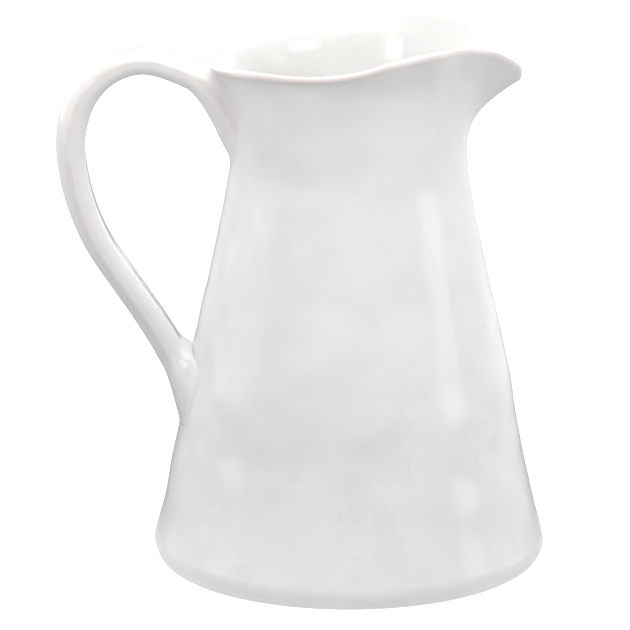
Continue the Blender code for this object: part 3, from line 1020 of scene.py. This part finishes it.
@dataclass
class Strap:
    """The pulled strap handle, crowned outside and flat inside, smeared on at both ends.

    Attributes:
        mm: The frame's length of one drawn millimetre.
        stations: The path, each row a number, X, height, width, thickness and spread.
        crown: How far the crown stands above the shoulders, as a share of the thickness.
        crown_power: How flat the crown is on top.
        corner: The rounding of the inner corners, as shares across and through.
        ridge: The rounding of the outer ridges, as shares across and through.
        ridge_turn: How far round, in degrees, a ridge goes before the crown takes over.
        ridge_break: Where on a ridge the glaze breaks most, and its spread, in points.
        ridge_height: The height where that break is at its full strength.
        rings_each: How many rings lie between two stations.
        buried: How deep the smeared ends may lie in the body.
        wander: Depth and size of the slow unevenness.
        dimple: Depth and size of the fingers' dimples.
        smoothing: How often the joints are smoothed.
    """

    mm: float
    stations: tuple[Row, ...] = (
        (0, -47.0, 187.0, 20.0, 9.0, 4.0), (1, -50.5, 195.0, 22.5, 12.2, 4.5),
        (2, -55.4, 206.0, 24.5, 12.6, 6.0), (3, -63.1, 218.5, 24.0, 12.8, 9.0),
        (4, -72.5, 224.6, 22.5, 11.7, 5.0), (5, -90.7, 229.9, 22.0, 11.3, 1.0),
        (6, -107.0, 225.0, 22.0, 11.9, 1.0), (7, -118.2, 212.5, 22.0, 12.7, 1.0),
        (8, -122.8, 193.0, 22.0, 13.0, 1.0), (9, -119.4, 169.0, 22.0, 12.8, 1.0),
        (10, -111.3, 148.1, 22.0, 12.6, 1.0), (11, -99.0, 129.0, 22.0, 12.7, 2.0),
        (12, -86.9, 110.7, 22.2, 13.0, 5.5), (13, -79.3, 97.2, 24.0, 12.8, 10.0),
        (14, -75.7, 87.0, 27.0, 10.2, 13.0), (15, -74.6, 79.0, 25.0, 6.8, 12.0),
        (16, -73.9, 72.5, 15.0, 2.8, 10.0),
    )
    crown: float = 0.28
    crown_power: float = 2.2
    corner: Row = (0.40, 0.40)
    ridge: Row = (0.22, 0.20)
    ridge_turn: float = 68.0
    ridge_break: Row = (3.0, 4.0)
    ridge_height: float = 185.0
    rings_each: int = 14
    flat_points: int = 10
    corner_points: int = 9
    side_points: int = 18
    ridge_points: int = 6
    crown_points: int = 18
    buried: float = 0.9
    wander: Row = (0.35, 38.0)
    dimple: Row = (0.25, 11.0)
    smoothing: int = 4

    def outline(self) -> bpy.types.Object:
        """Make the outline guide: shares across and through the strap, crown up."""
        across, through = self.corner
        ridge_across, ridge_through = self.ridge
        top = 0.5 - self.crown - ridge_through
        half = [(u, -0.5) for u in steps(0.0, 1.0 - across, self.flat_points)[:-1]]
        half += arc((1.0 - across, through - 0.5), self.corner, -90, 0, self.corner_points)
        half += [(1.0, v) for v in steps(through - 0.5, top, self.side_points)[1:-1]]
        ridge_start = len(half)
        centre = (1.0 - ridge_across, top)
        half += arc(centre, self.ridge, 0, self.ridge_turn, self.ridge_points)
        ridge_u, ridge_v = half[-1]
        for u in steps(ridge_u, 0.0, self.crown_points)[1:]:
            bend = 1.0 - (abs(u) / ridge_u) ** self.crown_power
            half.append((u, ridge_v + (0.5 - ridge_v) * bend))
        point, spread = self.ridge_break
        places = range(-ridge_start, len(half) - ridge_start)
        thin = [math.exp(-(((i - point) / spread) ** 2)) for i in places]
        points = half + [(-u, v) for u, v in half[-2:0:-1]]
        marks = [(mark, 0.0, 0.0) for mark in thin + thin[-2:0:-1]]
        return make_guide("outline", [(u, v, 0.0) for u, v in points], marks=marks)

    def path(self) -> bpy.types.Object:
        """Make the path guide, which draws in to a point at both ends."""
        last = self.stations[-1][0]
        rows = [follow(self.stations, at) for at in steps(0.0, last, last * self.rings_each)]
        ways = []
        for i in range(len(rows)):
            before, after = rows[max(i - 1, 0)], rows[min(i + 1, len(rows) - 1)]
            way = Vector((after[0] - before[0], 0.0, after[1] - before[1]))
            ways.append(way.normalized())
        start, end = ([*row[:2], 0.0, 0.0, row[4]] for row in (rows[0], rows[-1]))
        rows, ways = [start, *rows, end], [ways[0], *ways, ways[-1]]
        mm = self.mm
        points = [(x * mm, 0.0, z * mm) for x, z, *_ in rows]
        sizes = [(width / 2 * mm, thick * mm, spread * mm) for *_, width, thick, spread in rows]
        return make_guide("path", points, way=ways, size=sizes)

    def build(
        self, tree: bpy.types.NodeTree, material: bpy.types.Material, body: bpy.types.Object
    ) -> bpy.types.Object:
        """Pull the strap and smear its ends onto the body.

        Args:
            tree: The strap's tree.
            material: The glaze.
            body: The thrown body that the strap is joined to.

        Returns:
            The finished piece.
        """
        path, outline = self.path(), self.outline()
        values = {
            "Path": path, "Outline": outline, "Body": body, "Rings": len(path.data.vertices),
            "Columns": len(outline.data.vertices), "Smoothing": self.smoothing,
            "Buried": self.buried * self.mm, "Ridge Height": self.ridge_height * self.mm,
            **unevenness(self.mm, self.wander, self.dimple), "Material": material,
        }
        piece = bake("pitcher_handle", tree, values)
        for guide in (path, outline):
            bpy.data.objects.remove(guide)
        return piece


@dataclass(frozen=True)
class FloorPaint:
    """A dim floor paint that lights the pitcher softly and looks white to the camera.

    Attributes:
        foot_glow: How brightly the floor shines next to the foot.
        foot_reach: How far from the middle that glow starts and stops fading.
        left_glow: How brightly it shines at the left.
        right_glow: How brightly it shines at the right.
        side_reach: How far from the middle those two start and stop growing.
        shown_glow: How brightly the camera sees it.
    """

    name: str = "floor_paint"
    pale: Colour = (0.20, 0.20, 0.20, 1.0)
    dull: Colour = (0.19, 0.19, 0.195, 1.0)
    drift_size: float = 0.4
    roughness: float = 0.9
    shine: float = 0.1
    foot_glow: float = 3.0
    foot_reach: Row = (0.085, 0.16)
    left_glow: float = 2.5
    right_glow: float = 3.7
    side_reach: Row = (0.08, 0.4)
    shown_glow: float = 5.6

    def build(self) -> bpy.types.Material:
        """Make the material and return it."""
        material, shader, g, place = start_material(self.name)
        colour = g.tint(self.pale, self.dull, g.noise(place, self.drift_size, 2.0))
        across = g.split(place)[0]
        near, far = self.side_reach
        glow = g.ramp(g.vector("LENGTH", place), *self.foot_reach, self.foot_glow, 0.0)
        glow = g.math("ADD", glow, g.ramp(across, -far, -near, self.left_glow, 0.0))
        glow = g.math("ADD", glow, g.ramp(across, near, far, 0.0, self.right_glow))
        seen = g.add("ShaderNodeLightPath").outputs["Is Camera Ray"]
        look = {
            "Base Color": colour,
            "Roughness": self.roughness,
            "Specular IOR Level": self.shine,
            "Emission Color": colour,
            "Emission Strength": g.math("MAXIMUM", glow, g.math("MULTIPLY", seen, self.shown_glow)),
        }
        g.feed(shader, look)
        return material


@dataclass(frozen=True)
class Softbox:
    """A soft light: where it hangs, its width and height, and how bright its face is."""

    name: str
    place: Row
    size: Row
    radiance: float


@dataclass
class Studio:
    """The pale floor, the soft light and the camera.

    Attributes:
        distance: How far the camera stands from the pitcher's axis.
        azimuth: Where it stands, in degrees round the axis from the front.
        height: How high it stands.
        tilt: How far down it looks, in degrees.
        pan: How far it looks to the side of the axis, in degrees.
        lens: Its focal length, in millimetres.
        floor_size: The floor's side.
        floor_squares: How many faces lie along it.
        horizon: The colour of the world at the horizon and below.
        sky: Its colour overhead.
        sky_rise: How far up, from 0 to 1, the horizon's colour fades out.
        aim_height: The height on the axis that the lights face.
        boxes: The lights.
    """

    distance: float = 1.8
    azimuth: float = -4.375
    height: float = 0.57226
    tilt: float = 14.329
    pan: float = 0.474
    lens: float = 237.56
    floor_size: float = 12.0
    floor_squares: int = 8
    horizon: Colour = (0.90, 0.89, 0.885, 1.0)
    sky: Colour = (0.10, 0.10, 0.10, 1.0)
    sky_rise: float = 0.55
    aim_height: float = 0.12
    boxes: tuple[Softbox, ...] = (
        Softbox("overhead", (0.05, 0.0, 1.55), (2.2, 1.5), 1.92),
        Softbox("front_high", (-0.1, -1.0, 1.45), (1.6, 0.9), 1.72),
        Softbox("front_left", (-1.1, -1.1, 0.94), (0.7, 0.5), 3.4),
        Softbox("front_right", (1.1, -1.1, 0.94), (0.7, 0.5), 3.4),
        Softbox("right_window", (1.28, -0.38, 0.33), (0.46, 0.52), 1.35),
        Softbox("left", (-1.5, 0.1, 0.45), (1.2, 0.9), 0.6),
        Softbox("back_left", (-1.1, 1.1, 0.7), (1.0, 1.2), 2.4),
        Softbox("back_right", (1.1, 1.1, 0.7), (1.0, 1.2), 2.6),
    )

    def floor(self) -> None:
        """Lay the floor."""
        mesh = bpy.data.meshes.new("studio_floor")
        bm = bmesh.new()
        count = self.floor_squares
        bmesh.ops.create_grid(bm, x_segments=count, y_segments=count, size=self.floor_size / 2)
        bm.to_mesh(mesh)
        bm.free()
        mesh.materials.append(FloorPaint().build())
        floor = bpy.data.objects.new("studio_floor", mesh)
        bpy.context.scene.collection.objects.link(floor)

    def hang(self, box: Softbox) -> None:
        """Hang one soft light that faces the middle of the pitcher."""
        lamp = bpy.data.lights.new(box.name, "AREA")
        lamp.shape = "RECTANGLE"
        lamp.size, lamp.size_y = box.size
        lamp.energy = box.radiance * math.pi * box.size[0] * box.size[1]
        light = bpy.data.objects.new(box.name, lamp)
        light.location = box.place
        aim = Vector((0.0, 0.0, self.aim_height)) - light.location
        light.rotation_euler = aim.to_track_quat("-Z", "Y").to_euler()
        bpy.context.scene.collection.objects.link(light)

    def lights(self) -> None:
        """Light the pitcher from overhead and all round, with a pale band at the horizon."""
        world = bpy.data.worlds.new("studio")
        world.use_nodes = True
        g = Graph(world.node_tree)
        up = g.split(g.add("ShaderNodeTexCoord").outputs["Generated"])[2]
        colour = g.tint(self.horizon, self.sky, g.ramp(up, 0.0, self.sky_rise))
        g.feed(world.node_tree.nodes["Background"], {"Color": colour})
        bpy.context.scene.world = world
        for box in self.boxes:
            self.hang(box)

    def camera(self) -> None:
        """Place the camera."""
        lens = bpy.data.cameras.new("view")
        lens.lens = self.lens
        camera = bpy.data.objects.new("view", lens)
        angle = math.radians(self.azimuth)
        x, y = self.distance * math.sin(angle), -self.distance * math.cos(angle)
        camera.location = (x, y, self.height)
        turn = math.radians(self.azimuth + self.pan)
        camera.rotation_euler = (math.radians(90.0 - self.tilt), 0.0, turn)
        bpy.context.scene.collection.objects.link(camera)
        bpy.context.scene.camera = camera

    def build(self) -> None:
        """Set up the whole studio."""
        bpy.context.scene.view_settings.view_transform = "Standard"
        self.floor()
        self.lights()
        self.camera()


def place_piece(piece: bpy.types.Object, slot: Slot, *nodes: str) -> None:
    """Let a piece ride on the pitcher and stand for its CAD nodes.

    Args:
        piece: The finished piece.
        slot: Not used.
        nodes: The CAD nodes that it stands for.
    """
    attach(piece, "root")
    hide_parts(*nodes)
    piece.data.calc_loop_triangles()
    triangles = len(piece.data.loop_triangles)
    log.info("%s: %d triangles, for %s", piece.name, triangles, ", ".join(nodes))


def main() -> None:
    """Build the pitcher and its studio."""
    logging.basicConfig(level=logging.INFO, format="%(name)s: %(message)s")
    low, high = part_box("vessel_wall")
    mm = (high.y - low.y) / DRAWN_WIDTH
    log.info("one drawn millimetre is %.6f m", mm)
    groups = GlazeCharacter().build(), ThinEdge().build()
    body_glaze = Glaze(*groups, "body_glaze").build()
    strap_glaze = Glaze(*groups, "strap_glaze", pool_size=0.020, break_strength=0.30).build()
    wheel = wheel_tree()
    body = Vessel(mm).build(wheel, body_glaze)
    foot = Foot(mm).build(wheel, BareClay().build())
    handle = Strap(mm).build(strap_tree(), strap_glaze, body)
    place_piece(body, Slot.BODY, "vessel_wall", "base_disc")
    place_piece(foot, Slot.FOOT, "foot_ring")
    place_piece(handle, Slot.STRAP, "handle", "upper_slip_joint", "lower_slip_joint")
    Studio().build()


if __name__ == "__main__":
    main()
